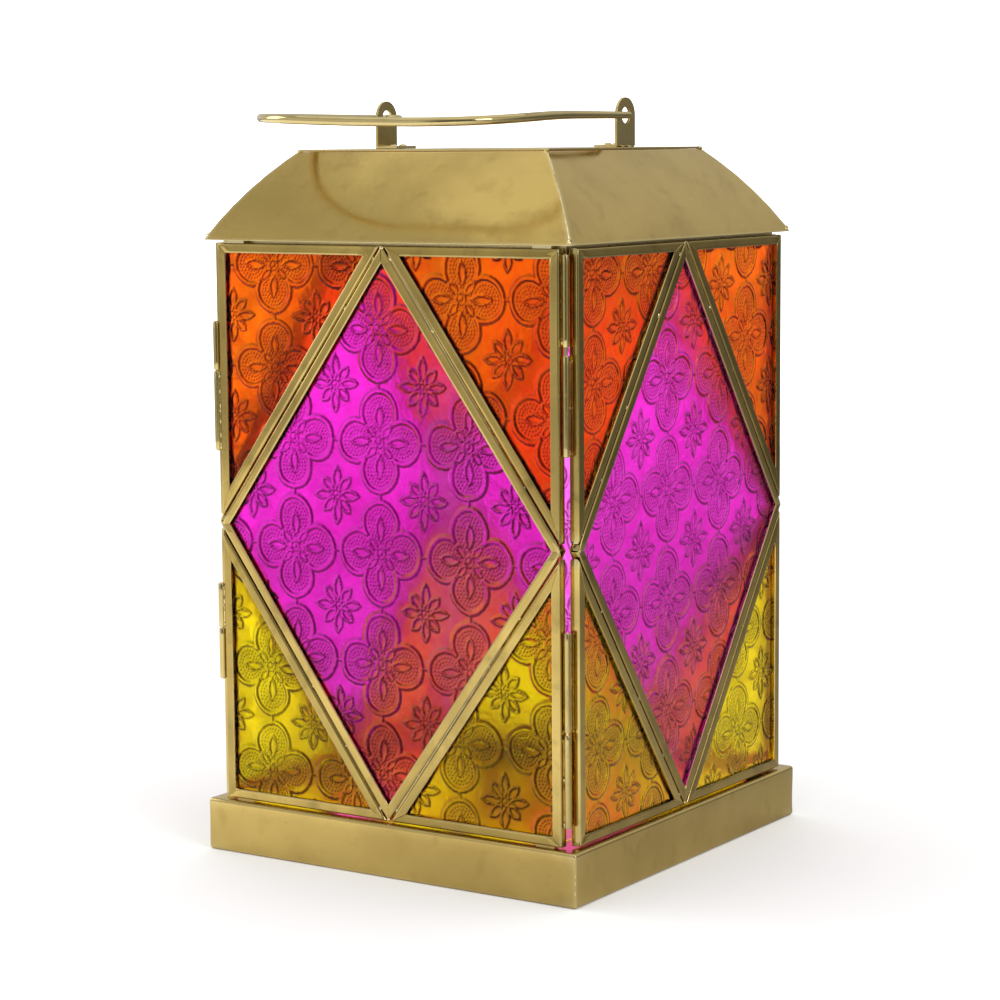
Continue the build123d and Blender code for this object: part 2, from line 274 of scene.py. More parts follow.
def blob(centre, radii, rng, rings=6, around=10, rough=0.18):
    """A bead of solder: an ellipsoid whose radius swells and dips with two sine waves."""
    tilt = np.linspace(0, math.pi, rings + 1)[1:-1]
    turn = np.arange(around) * TAU / around
    tilt, turn = np.meshgrid(tilt, turn, indexing="ij")
    swell = 1 + rough * np.sin(2 * turn + rng.uniform(0, TAU)) * np.sin(tilt + rng.uniform(0, TAU))
    swell += 0.6 * rough * np.sin(3 * turn + rng.uniform(0, TAU))
    x, y, z = np.sin(tilt) * np.cos(turn), np.sin(tilt) * np.sin(turn), np.cos(tilt)
    shape = np.stack([x, y, z], axis=-1) * swell[..., None]
    points = np.concatenate([shape.reshape(-1, 3), [[0, 0, 1]], [[0, 0, -1]]]) * radii + centre
    count = (rings - 1) * around
    first = np.arange(around)
    last = first + count - around
    top = np.column_stack([first, np.roll(first, -1), np.full(around, count)])
    bottom = np.column_stack([np.roll(last, -1), last, np.full(around, count + 1)])
    return points, [grid_faces(rings - 1, around, wrap_columns=True)[:, ::-1], top, bottom]


def bead_run(start, end, radius, rng, rough=0.35, spacing=0.8, sides=8):
    """Solder run along a joint: a bar whose radius and line wander, thinning at both ends."""
    start, end = np.asarray(start, float), np.asarray(end, float)
    length = np.linalg.norm(end - start)
    steps = max(6, int(length / spacing))
    t = np.linspace(0, 1, steps)
    lumps = hills(t * length, t * 0, rng, 1.0, waves=6, reach=2.2)
    taper = np.minimum(1, np.sqrt(np.minimum(t, 1 - t) * length / 1.2 + 0.02))
    radii = radius * (1 + rough * lumps) * taper
    path = start + t[:, None] * (end - start)
    path = path + np.column_stack([hills(t * length, t * 0, rng, 0.12 * radius, reach=1.5) for _ in range(3)])
    flat = (0.0, 1.0, 0.2) if abs(end[2] - start[2]) > 0.5 * length else (0.0, 0.0, 1.0)
    return tube(path, radii, sides=sides, flat=flat)


# ---------------------------------------------------------------- shader tools
class Nodes:
    """Adds and links nodes in one tree, a few words at a time."""

    def __init__(self, tree):
        self.tree = tree

    def put(self, value, socket):
        """Links a socket, or sets a plain value."""
        if isinstance(value, bpy.types.NodeSocket):
            self.tree.links.new(value, socket)
        else:
            socket.default_value = value

    def add(self, kind, inputs=None, **settings):
        node = self.tree.nodes.new(kind)
        for key, value in settings.items():
            setattr(node, key, value)
        for key, value in (inputs or {}).items():
            self.put(value, node.inputs[key])
        return node

    def math(self, operation, a, b=0.0, clamp=False):
        return self.add("ShaderNodeMath", {0: a, 1: b}, operation=operation, use_clamp=clamp).outputs[0]

    def blend(self, a, share_a, b, share_b):
        """The sum of two values, each with its share, held between 0 and 1."""
        parts = [self.math("MULTIPLY", value, share) for value, share in ((a, share_a), (b, share_b))]
        return self.math("ADD", *parts, clamp=True)

    def noise(self, vector, scale, detail=3.0, rough=0.5, distortion=0.0):
        inputs = {"Vector": vector, "Scale": scale, "Detail": detail, "Roughness": rough}
        inputs["Distortion"] = distortion
        return self.add("ShaderNodeTexNoise", inputs).outputs["Fac"]

    def ranged(self, value, low, high, to_low=0.0, to_high=1.0):
        inputs = {"Value": value, "From Min": low, "From Max": high, "To Min": to_low, "To Max": to_high}
        return self.add("ShaderNodeMapRange", inputs).outputs["Result"]

    def mixed(self, factor, a, b, blend="MIX"):
        node = self.add("ShaderNodeMix", data_type="RGBA", blend_type=blend)
        self.put(factor, node.inputs[0])
        self.put(a, node.inputs[6])
        self.put(b, node.inputs[7])
        return node.outputs[2]

    def stretched(self, vector, scale):
        return self.add("ShaderNodeMapping", {"Vector": vector, "Scale": scale}).outputs[0]

    def object_place(self):
        return self.add("ShaderNodeTexCoord").outputs["Object"]

    def along(self, vector, aim):
        """How far a vector reaches along an aim."""
        return self.add("ShaderNodeVectorMath", {0: vector, 1: aim}, operation="DOT_PRODUCT").outputs["Value"]

    def greys(self, value, first, last, between=()):
        """Grey that follows a value through stops, each (place, shade)."""
        node = self.add("ShaderNodeValToRGB", {0: value})
        stops = node.color_ramp.elements
        for stop, (place, shade) in ((stops[0], first), (stops[1], last)):
            stop.position, stop.color = place, (shade, shade, shade, 1)
        for place, shade in between:
            stops.new(place).color = (shade, shade, shade, 1)
        return node.outputs["Color"]


def new_group(name, inputs, outputs):
    """An empty shader group with named inputs, each (name, kind, default), and outputs."""
    tree = bpy.data.node_groups.new(name, "ShaderNodeTree")
    for label, kind, default in inputs:
        socket = tree.interface.new_socket(label, in_out="INPUT", socket_type="NodeSocket" + kind)
        if default is not None:
            socket.default_value = default
    for label, kind in outputs:
        tree.interface.new_socket(label, in_out="OUTPUT", socket_type="NodeSocket" + kind)
    nodes = Nodes(tree)
    return nodes, nodes.add("NodeGroupInput").outputs, nodes.add("NodeGroupOutput")


def hand_finish_group():
    """Polished sheet brass: cloudy tone, tarnish, specks, polishing streaks and a painted highlight on its
    folds and sharper edges.
    """
    inputs = [
        ("Vector", "Vector", None),
        ("Metal", "Color", (0.5, 0.4, 0.17, 1)),
        ("Tarnish", "Color", (0.2, 0.14, 0.05, 1)),
        ("Bright", "Color", (0.88, 0.76, 0.42, 1)),
        ("Tarnish amount", "Float", 0.35),
        ("Low roughness", "Float", 0.14),
        ("High roughness", "Float", 0.32),
        ("Bump", "Float", 0.15),
    ]
    outputs = [("Color", "Color"), ("Roughness", "Float"), ("Normal", "Vector")]
    n, given, out = new_group("hand_finished_metal", inputs, outputs)
    vector = given["Vector"]
    cloud = n.ranged(n.noise(vector, 26.0, 3.0, 0.5, 0.1), 0.40, 0.66)
    stain = n.ranged(n.noise(vector, 95.0, 3.0, 0.5, 0.1), 0.55, 0.75)
    speck = n.ranged(n.noise(vector, 900.0, 2.0, 0.5), 0.70, 0.76)
    streak = n.noise(n.stretched(vector, (60, 60, 1400)), 1.0, 3.0, 0.6)
    cross_streak = n.noise(n.stretched(vector, (1300, 1300, 90)), 1.0, 2.0, 0.6)
    geometry = n.add("ShaderNodeNewGeometry")
    # painted highlight: where the mesh is pointy, at folds and edges, the colour turns towards the edge
    # highlight
    edge = n.ranged(geometry.outputs["Pointiness"], 0.51, 0.57)
    dirt = n.math("MULTIPLY", n.blend(stain, 0.45, cloud, 0.55), given["Tarnish amount"], clamp=True)
    dirt = n.math("MAXIMUM", dirt, n.math("MULTIPLY", speck, 0.55), clamp=True)
    colour = n.mixed(dirt, given["Metal"], given["Tarnish"])
    colour = n.mixed(n.math("MULTIPLY", edge, 0.75), colour, given["Bright"])
    n.put(colour, out.inputs["Color"])
    grain = n.blend(streak, 0.6, cross_streak, 0.4)
    rough = n.blend(grain, 0.5, dirt, 0.7)
    rough = n.ranged(rough, 0.15, 0.75, given["Low roughness"], given["High roughness"])
    n.put(rough, out.inputs["Roughness"])
    height = n.blend(grain, 0.25, n.noise(vector, 240.0, 3.0), 0.75)
    bump = n.add("ShaderNodeBump", {"Strength": given["Bump"], "Distance": 0.0002, "Height": height})
    n.put(bump.outputs["Normal"], out.inputs["Normal"])
    return n.tree


def pressed_glass_group():
    """Pressed glass: tint that drifts a little, painted shade on the relief's slopes that face away from the
    light and a painted highlight on those that face it, a stippled ground with darker dots, faint waviness
    and a matt face behind."""
    inputs = [
        ("Vector", "Vector", None),
        ("Stipple", "Float", 0.0),
        ("Dark", "Float", 0.0),
        ("Lit", "Float", 0.0),
        ("Behind", "Float", 0.0),
        ("Tint", "Color", (1, 1, 1, 1)),
        ("Deep tint", "Color", (1, 1, 1, 1)),
        ("Shade and pit tint", "Color", (0.1, 0.1, 0.1, 1)),
        ("Lit tint", "Color", (1, 1, 1, 1)),
        ("Front roughness", "Float", 0.08),
        ("Back roughness", "Float", 0.28),
    ]
    outputs = [("Color", "Color"), ("Roughness", "Float"), ("Normal", "Vector")]
    n, given, out = new_group("pressed_glass", inputs, outputs)
    vector = given["Vector"]
    drift = n.blend(n.noise(vector, 28.0, 2.0, 0.5, 0.4), 0.5, n.noise(vector, 170.0, 2.0, 0.5, 0.8), 0.5)
    tint = n.mixed(n.ranged(drift, 0.38, 0.64), given["Tint"], given["Deep tint"])
    # painted highlight: slopes that face the light turn towards the lit tint
    tint = n.mixed(n.math("MULTIPLY", given["Lit"], 0.80), tint, given["Lit tint"])
    grain = n.noise(vector, 1150.0, 1.0, 0.5)
    pits = n.math("MULTIPLY", given["Stipple"], n.ranged(grain, 0.42, 0.60, 0.0, 0.45))
    # painted shade on the slopes, together with the darker dots of the stippled ground
    dark = n.math("MAXIMUM", n.math("MULTIPLY", given["Dark"], 0.98), pits, clamp=True)
    n.put(n.mixed(dark, tint, given["Shade and pit tint"]), out.inputs["Color"])
    seed = n.noise(vector, 1500.0, 2.0)
    rough = n.math("ADD", given["Front roughness"], n.math("MULTIPLY", seed, 0.08))
    rough = n.math("ADD", rough, n.math("MULTIPLY", given["Stipple"], 0.06))
    rough = n.math("MAXIMUM", rough, n.math("MULTIPLY", given["Behind"], given["Back roughness"]))
    n.put(rough, out.inputs["Roughness"])
    ripple = n.noise(vector, 190.0, 2.0, 0.5, 0.5)
    height = n.math("ADD", ripple, n.math("MULTIPLY", grain, n.math("MULTIPLY", given["Stipple"], 0.5)))
    height = n.math("ADD", height, n.math("MULTIPLY", grain, 0.10))
    bump = n.add("ShaderNodeBump", {"Strength": 0.5, "Distance": 0.0006, "Height": height})
    n.put(bump.outputs["Normal"], out.inputs["Normal"])
    return n.tree


HAND_FINISH = hand_finish_group()
PRESSED_GLASS = pressed_glass_group()


def new_material(name):
    """A material with one Principled shader, and its node tools and shader."""
    material = bpy.data.materials.new(name)
    material.use_nodes = True
    n = Nodes(material.node_tree)
    return material, n, material.node_tree.nodes["Principled BSDF"]


STRIP_SHADE = (0.40, 0.38, 0.30, 1)       # painted shade: what the colour of the most shaded strips is multiplied by


def dressed(n, shader, group, colour=None):
    """Puts a finish group's colour, roughness and normal on the shader."""
    n.put(colour or group.outputs["Color"], shader.inputs["Base Color"])
    n.put(group.outputs["Roughness"], shader.inputs["Roughness"])
    n.put(group.outputs["Normal"], shader.inputs["Normal"])


def metal(name, strip_shading=0.0, **values):
    """Metal in the hand-finished group's look, with painted shade: darker where its points carry more strip
    shade.
    """
    material, n, shader = new_material(name)
    group = n.add("ShaderNodeGroup", node_tree=HAND_FINISH)
    n.put(n.object_place(), group.inputs["Vector"])
    for key, value in values.items():
        group.inputs[key.replace("_", " ")].default_value = value
    strip_shade = n.add("ShaderNodeAttribute", attribute_name="strip_shade").outputs["Fac"]
    # painted shade multiplied into the finish's colour
    colour = n.mixed(n.math("MULTIPLY", strip_shade, strip_shading), group.outputs["Color"], STRIP_SHADE, "MULTIPLY")
    shader.inputs["Metallic"].default_value = 1.0
    dressed(n, shader, group, colour)
    return material


def glass(name, tint, deep_tint, shade_and_pit_tint, lit_tint):
    """Pressed glass in one colour."""
    material, n, shader = new_material(name)
    group = n.add("ShaderNodeGroup", node_tree=PRESSED_GLASS)
    n.put(n.object_place(), group.inputs["Vector"])
    for label in ("Stipple", "Dark", "Lit", "Behind"):
        n.put(n.add("ShaderNodeAttribute", attribute_name=label.lower()).outputs["Fac"], group.inputs[label])
    tints = {"Tint": tint, "Deep tint": deep_tint, "Shade and pit tint": shade_and_pit_tint, "Lit tint": lit_tint}
    for label, value in tints.items():
        group.inputs[label].default_value = value
    shader.inputs["Transmission Weight"].default_value = 1.0
    shader.inputs["IOR"].default_value = 1.36
    shader.inputs["Specular Tint"].default_value = (0.22, 0.22, 0.22, 1)
    dressed(n, shader, group)
    return material


sheet_brass = metal("sheet_brass", Metal=(0.64, 0.465, 0.145, 1), Tarnish=(0.27, 0.17, 0.045, 1),
                    Tarnish_amount=0.5, Low_roughness=0.13, High_roughness=0.30)
frame_brass = metal("frame_brass", strip_shading=0.62, Metal=(0.74, 0.54, 0.165, 1), Tarnish=(0.16, 0.11, 0.03, 1),
                    Tarnish_amount=0.75, Bump=0.05, Low_roughness=0.08, High_roughness=0.24)
wire_brass = metal("wire_brass", Metal=(0.66, 0.52, 0.22, 1), Tarnish=(0.20, 0.14, 0.05, 1),
                   Tarnish_amount=0.3, Bump=0.04, Low_roughness=0.06, High_roughness=0.16)
hinge_brass = metal("hinge_brass", Metal=(0.60, 0.46, 0.16, 1), Tarnish=(0.16, 0.11, 0.035, 1),
                    Tarnish_amount=0.6, Bump=0.05, Low_roughness=0.08, High_roughness=0.24)
solder = metal("solder_brass", Metal=(0.72, 0.60, 0.32, 1), Tarnish=(0.28, 0.20, 0.09, 1),
               Tarnish_amount=0.35, Low_roughness=0.12, High_roughness=0.30)
inner_brass = metal("inner_brass", Metal=(0.42, 0.33, 0.13, 1), Tarnish=(0.12, 0.08, 0.03, 1),
                    Tarnish_amount=0.6, Low_roughness=0.22, High_roughness=0.42)
# each glass: its tint, its deep tint, the colour of its painted shade and darker dots, and the colour of its
# painted highlight
GLASS_LOOK = {
    "orange": glass("orange_glass", (0.90, 0.37, 0.003, 1), (0.82, 0.21, 0.002, 1), (0.03, 0.002, 0.001, 1),
                    (1.0, 0.66, 0.04, 1)),
    "magenta": glass("magenta_glass", (0.98, 0.15, 0.84, 1), (0.84, 0.07, 0.66, 1), (0.03, 0.001, 0.012, 1),
                     (1.0, 0.45, 0.97, 1)),
    "yellow": glass("yellow_glass", (1.0, 0.90, 0.015, 1), (0.97, 0.76, 0.01, 1), (0.03, 0.012, 0.001, 1),
                    (1.0, 0.97, 0.2, 1)),
}
PANES = {
    "diamond": "magenta",
    "upper_left": "orange",
    "upper_right": "orange",
    "lower_left": "yellow",
    "lower_right": "yellow",
}


# ---------------------------------------------------------------- glass relief
CELL = 45.0            # one repeat of the pattern, nominal
LOBE_OUT = 11.8        # centre of a quatrefoil's lobe from its middle
LOBE_RADIUS = 9.7
HEART_RADIUS = 11.6    # disc that fills a quatrefoil's middle
STIPPLE_PITCH = 1.5
LINE = 0.60            # half width of a moulded line


def step(distance, width):
    """Rises smoothly from 0 to 1 as the distance goes from -width to width."""
    t = np.clip(distance / (2 * width) + 0.5, 0, 1)
    return t * t * (3 - 2 * t)


def line(distance, half=LINE):
    """A rounded ridge where the distance is near 0."""
    return np.exp(-((distance / half) ** 2))


def lens(x, y, angle, middle, half_length, half_width):
    """Distance to a pointed leaf, negative inside: two equal arcs that meet in points,
    centred at a distance from the origin along a direction in degrees."""
    c, s = math.cos(math.radians(angle)), math.sin(math.radians(angle))
    along, across = x * c + y * s - middle, -x * s + y * c
    radius = (half_length**2 + half_width**2) / (2 * half_width)
    return np.hypot(along, np.abs(across) + radius - half_width) - radius


def four_leaves(x, y, first, middle, half_length, half_width):
    """Distance to the nearest of four pointed leaves a quarter turn apart."""
    angles = [first + 90 * k for k in range(4)]
    return np.minimum.reduce([lens(x, y, angle, middle, half_length, half_width) for angle in angles])


def quatrefoil(x, y):
    """Height and stipple of one quatrefoil: a raised double rim round four lobes, rows of dots
    inside them, four plain leaves, four small leaves between them and a ring."""
    right = np.hypot(np.abs(x) - LOBE_OUT, y)
    up = np.hypot(x, np.abs(y) - LOBE_OUT)
    from_lobe = np.minimum(right, up)
    edge = np.minimum(from_lobe - LOBE_RADIUS, np.hypot(x, y) - HEART_RADIUS)
    height = 0.38 * (step(edge + 2.0, 0.62) - step(edge + 0.1, 0.68))
    sideways = np.where(right < up, np.arctan2(y, np.abs(x) - LOBE_OUT), np.arctan2(np.abs(y) - LOBE_OUT, x))
    row = np.maximum(np.round(from_lobe / STIPPLE_PITCH), 1)
    dots = (0.5 + 0.5 * np.cos(TAU * from_lobe / STIPPLE_PITCH)) * (0.5 + 0.5 * np.cos(6 * row * sideways))
    leaf = four_leaves(x, y, 0, 9.9, 4.6, 1.8)
    small = four_leaves(x, y, 45, 5.7, 2.8, 1.35)
    ring = np.abs(np.hypot(x, y) - 2.1)
    ground = step(-(edge + 2.9), 0.5) * step(leaf - 0.8, 0.4) * step(small - 0.4, 0.3)
    ground *= step(np.hypot(x, y) - 3.2, 0.4)
    height += 0.14 * ground * dots + 0.30 * line(leaf) + 0.26 * line(small, 0.45)
    height += 0.26 * line(ring, 0.48) + 0.20 * step(0.9 - np.hypot(x, y), 0.6)
    return height, ground


def snowflake(x, y):
    """Height of the flower between four quatrefoils: eight outlined petals round a ring."""
    long = four_leaves(x, y, 0, 7.0, 4.3, 1.7)
    short = four_leaves(x, y, 45, 6.0, 3.4, 1.75)
    ring = np.abs(np.hypot(x, y) - 1.9)
    height = 0.32 * line(long) + 0.32 * line(short) + 0.24 * line(ring, 0.45)
    return height + 0.16 * step(0.7 - np.hypot(x, y), 0.5)


def relief(x, z, pitch, phase):
    """Height and stipple of the pressed pattern over a sheet. It repeats every pitch, with a
    quatrefoil centred at phase, a snowflake between each four and a tie between each two. Its
    lines wander by a sine wave or two, as they do when a mould is cut by hand."""
    drawn_x = x + 0.05 * np.sin(1.9 * z + 1.3 * np.sin(0.9 * x)) + 0.25 * np.sin(0.31 * z + 0.2 * x)
    drawn_z = z + 0.05 * np.sin(2.1 * x + 1.3 * np.sin(0.8 * z)) + 0.25 * np.sin(0.27 * x - 0.2 * z)
    across, up = (drawn_x - phase[0]) / pitch[0], (drawn_z - phase[1]) / pitch[1]
    near_x, near_y = (across - np.round(across)) * CELL, (up - np.round(up)) * CELL
    far_x, far_y = (across - np.floor(across) - 0.5) * CELL, (up - np.floor(up) - 0.5) * CELL
    height, ground = quatrefoil(near_x, near_y)
    height = height + snowflake(far_x, far_y)
    for a, b in ((near_x, near_y), (near_y, near_x)):
        tie = np.hypot(a, np.maximum(CELL / 2 - np.abs(b) - 0.4, 0) * 0.6)
        height = height + 0.30 * line(tie, 0.6) * step(np.abs(b) - 20.9, 0.4)
    return height, ground


def slope_of(x, z, pitch, phase, reach=0.22):
    """The painted shade and the painted highlight on the pattern's slopes, from its heights a little to each
    side and a little up and down: slopes that face down and away from a light at the upper left get the
    deepest painted shade, those that face it a painted highlight."""
    across = relief(x + reach, z, pitch, phase)[0] - relief(x - reach, z, pitch, phase)[0]
    up = relief(x, z + reach, pitch, phase)[0] - relief(x, z - reach, pitch, phase)[0]
    steep = np.hypot(across, up)
    away = (up - across) / (math.sqrt(2) * np.maximum(steep, 1e-6))
    steep = steep / (2 * reach) / STEEP
    dark = steep * (SHADE + SHADE_AWAY * away)
    lit = steep * LIT_GAIN * (-LIT_FROM - away)
    return np.clip(dark, 0, 1), np.clip(lit, 0, 1)


def rhombus_grid(corners, count):
    """A grid over a rhombus: the bottom corner plus shares of the two sides that leave it."""
    bottom, right, _, left = corners
    a, b = np.meshgrid(np.linspace(0, 1, count + 1), np.linspace(0, 1, count + 1), indexing="ij")
    flat = bottom + a.reshape(-1, 1) * (right - bottom) + b.reshape(-1, 1) * (left - bottom)
    index = np.arange((count + 1) ** 2).reshape(count + 1, count + 1)
    rim = np.concatenate([index[:-1, 0], index[-1, :-1], index[:0:-1, -1], index[0, :0:-1]])
    return flat, [grid_faces(count + 1, count + 1)], rim


def triangle_grid(corners, count):
    """A grid over a triangle: its right-angled corner plus shares of its two short sides that
    add up to 1 at most."""
    first, square, last = corners
    rows, columns = np.meshgrid(np.arange(count + 1), np.arange(count + 1), indexing="ij")
    inside = rows + columns <= count
    index = np.full(inside.shape, -1)
    index[inside] = np.arange(inside.sum())
    a, b = rows[inside] / count, columns[inside] / count
    flat = square + a[:, None] * (first - square) + b[:, None] * (last - square)
    r, c = rows[:-1, :-1].ravel(), columns[:-1, :-1].ravel()
    whole, half = r + c <= count - 2, r + c == count - 1
    quads = np.column_stack([index[r, c], index[r + 1, c], index[r + 1, c + 1], index[r, c + 1]])[whole]
    tips = np.column_stack([index[r, c], index[r + 1, c], index[r, c + 1]])[half]
    steps = np.arange(count)
    rim = np.concatenate([index[steps, 0], index[count - steps, steps], index[0, count - steps]])
    return flat, [quads, tips], rim[::-1]


def inset(corners, distance):
    """The outline with every side moved in by a distance."""
    return corners + distance * mitres(corners)


def diamond_corners():
    """Bottom, right, top and left corner of the middle diamond."""
    wide = PANEL_HALF + DIAMOND_OVERRUN
    return np.array([(0, PANEL_LOW), (wide, PANEL_MIDDLE), (0, PANEL_HIGH), (-wide, PANEL_MIDDLE)], float)


def triangle_corners(side, level):
    """A corner triangle, anticlockwise; its middle corner is the right-angled one."""
    wide = PANEL_HALF + DIAMOND_OVERRUN
    shift = SEAM_GAP * math.hypot(1 / wide, 1 / PANEL_RISE)
    along_side = PANEL_RISE * (1 + shift - PANEL_HALF / wide)
    corners = np.array([
        (side * PANEL_HALF, PANEL_MIDDLE + level * along_side),
        (side * PANEL_HALF, PANEL_MIDDLE + level * PANEL_RISE),
        (side * wide * shift, PANEL_MIDDLE + level * PANEL_RISE),
    ])
    return corners if side * level > 0 else corners[::-1]


OUTLINES = {"diamond": diamond_corners()}
for level, level_name in ((1, "upper"), (-1, "lower")):
    for sign, sign_name in ((-1, "left"), (1, "right")):
        OUTLINES[f"{level_name}_{sign_name}"] = triangle_corners(sign, level)

# the repeat of the pattern and a quatrefoil's centre, in each sheet of glass
PATTERN = {
    "diamond": ((44.7, 47.0), (-3.0, 184.7)),
    "upper_left": ((44.5, 43.5), (-57.0, 213.8)),
    "upper_right": ((44.5, 47.5), (39.0, 245.0)),
    "lower_left": ((44.5, 45.0), (-62.0, 84.0)),
    "lower_right": ((44.5, 45.0), (36.0, 62.0)),
}
STEEP = 0.17           # slope at which the painted shade is deepest
SHADE = 0.68           # painted shade on every slope, and what one facing away from the light adds
SHADE_AWAY = 0.62
LIT_FROM = 0.30        # how far a slope must face the light before it gets a painted highlight
LIT_GAIN = 1.8
DIAMOND_STEPS = 290
TRIANGLE_STEPS = 205


def glass_pane(side, name, rng):
    """One pane: a relief face in front, a flat back and thin edges, in the channels' grooves."""
    corners = inset(OUTLINES[name], GLASS_INSET)
    if name == "diamond":
        flat, faces, rim = rhombus_grid(corners, DIAMOND_STEPS)
    else:
        flat, faces, rim = triangle_grid(corners, TRIANGLE_STEPS)
    pitch, phase = PATTERN[name]
    shift = (0.0, 0.0) if side == "front" else rng.uniform(-0.5, 0.5, 2) * pitch
    phase = np.array(phase) + shift
    height, ground = relief(flat[:, 0], flat[:, 1], pitch, phase)
    # painted shade and painted highlight of the relief's slopes, as if lit from the upper left
    dark, lit = slope_of(flat[:, 0], flat[:, 1], pitch, phase)
    height = np.clip(height, 0, RELIEF_ROOM)
    depth = GLASS_FRONT + RELIEF_ROOM - height
    front = np.column_stack([flat[:, 0], depth - PANEL_FACE, flat[:, 1]])
    back = np.column_stack([flat[rim, 0], np.full(len(rim), GLASS_BACK - PANEL_FACE), flat[rim, 1]])
    middle = back.mean(0)[None]
    points = np.concatenate([front, back, middle])
    low = np.arange(len(rim)) + len(front)
    rim_next, low_next = np.roll(rim, -1), np.roll(low, -1)
    edges = np.column_stack([rim, low, low_next, rim_next])
    fan = np.column_stack([low_next, low, np.full(len(rim), len(points) - 1)])
    groups = [g[:, ::-1] for g in faces] + [edges, fan]
    colour = PANES[name]
    body = SIDE_BODY[side]
    shells = [(turned(points, side), groups)]
    plain = np.zeros(len(points) - len(front))
    # the stipple, the painted shade and the painted highlight of each point, for the glass material to read
    values = {label: np.concatenate([face, plain])
              for label, face in (("stipple", ground), ("dark", dark), ("lit", lit))}
    values["behind"] = np.concatenate([np.zeros(len(front)), plain + 1])
    look = GLASS_LOOK[colour]
    pane = new_piece(f"{side}_pane_{name}", body, look, shells, values=values)
    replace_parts(pane, f"{side}_glass_{name}")
    return pane


# ---------------------------------------------------------------- glazing channels
def channel_section():
    """Section of the channel as (distance in from its outline, depth behind the face): two
    rounded folds, two rounded lips, a flat face and the groove that holds the glass."""
    lip = FLANGE / 2
    tip = CHANNEL_FACE - lip
    far = CHANNEL_DEPTH
    front_lip = arc((tip, lip), lip, 90, -90, 5)
    face_in = np.linspace(tip, FOLD_RADIUS, 5)[1:-1]
    face = np.column_stack([face_in, np.zeros(len(face_in))])
    front_fold = arc((FOLD_RADIUS, FOLD_RADIUS), FOLD_RADIUS, 270, 180, 5)
    back_fold = arc((FOLD_RADIUS, far - FOLD_RADIUS), FOLD_RADIUS, 180, 90, 5)
    back_lip = arc((tip, far - lip), lip, 90, -90, 5)
    groove = np.array([(WEB, far - FLANGE), (WEB, FLANGE)])
    return np.concatenate([front_lip, face, front_fold, back_fold, back_lip, groove])


CHANNEL_SECTION = channel_section()
MITRE_LINE = 0.35
MITRE_DIP = 0.14
STRIP_TILT = 0.16
STRIP_UNEVEN = 0.05
ROW_SPACING = 5.0


def channel_shell(corners, rng):
    """The channel section carried round an outline. Each side's rows run from one mitre to the
    next, a fine dip marks each mitre, and the strip wanders a few hundredths of a millimetre."""
    starts, moves = corners, mitres(corners)
    next_starts, next_moves = np.roll(starts, -1, axis=0), np.roll(moves, -1, axis=0)
    rows = []
    for i in range(len(corners)):
        length = np.linalg.norm(next_starts[i] - starts[i])
        count = max(4, int(length / ROW_SPACING))
        near = MITRE_LINE / length
        share = np.concatenate([[0, near], np.linspace(0, 1, count + 1)[1:-1], [1 - near]])
        depth_move = wobble(share, 1.0, rng, STRIP_UNEVEN)
        depth_move = depth_move - depth_move[0]
        face_move = wobble(share, 1.0, rng, STRIP_UNEVEN)
        face_move = face_move - face_move[0]
        tilt = np.abs(wobble(share, 1.0, rng, STRIP_TILT)) * np.sin(math.pi * share)
        dip = np.where(share == 0, MITRE_DIP, 0)
        rows.append((i, share, depth_move + dip, face_move, tilt, rng.choice([0, 1])))
    # painted shade: each strip takes one random darkness for all its points, standing in for the darker
    # reflections of strips that lean a little
    strip_shades = np.concatenate([np.full((len(row[1]), len(CHANNEL_SECTION)), rng.random()) for row in rows])
    pieces = []
    s, d = CHANNEL_SECTION[:, 0], CHANNEL_SECTION[:, 1]
    front = d < CHANNEL_DEPTH / 2
    for i, share, depth_move, face_move, tilt, hinge_edge in rows:
        t = share[:, None]
        a = starts[i] + s[:, None] * moves[i]
        b = next_starts[i] + s[:, None] * next_moves[i]
        flat = a[None] * (1 - t[..., None]) + b[None] * t[..., None]
        inner = (s > FOLD_RADIUS + 1)[None, :, None]
        inward = (moves[i] + next_moves[i]) / np.linalg.norm(moves[i] + next_moves[i])
        flat = flat + inner * face_move[:, None, None] * inward
        lean = tilt[:, None] * np.abs(s / CHANNEL_FACE - hinge_edge)[None]
        depth = d[None] + np.where(front, 1, -1)[None] * (np.maximum(depth_move, 0)[:, None] + lean)
        pieces.append(np.stack([flat[..., 0], depth - PANEL_FACE, flat[..., 1]], axis=-1))
    grid = np.concatenate(pieces)
    grid[..., 0] = np.clip(grid[..., 0], -PANEL_HALF, PANEL_HALF)
    rows_count, columns = grid.shape[:2]
    faces = grid_faces(rows_count, columns, wrap_rows=True, wrap_columns=True)
    return grid.reshape(-1, 3), [faces], strip_shades.ravel()


def channel_frame(side, name, rng):
    """The soldered channel frame round one pane."""
    points, faces, strip_shades = channel_shell(OUTLINES[name], rng)
    shells = [(turned(points, side), faces)]
    piece = new_piece(f"{side}_channel_{name}", SIDE_BODY[side], frame_brass, shells,
                      sharp=math.radians(32), merge=0.001, values={"strip_shade": strip_shades})
    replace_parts(piece, f"{side}_frame_{name}")
    return piece


SEAM_BEAD = 0.46
SEAM_DEPTH = {-1: 2.0, 1: 1.1}     # the seams on the left are sunk, so a dark gap shows


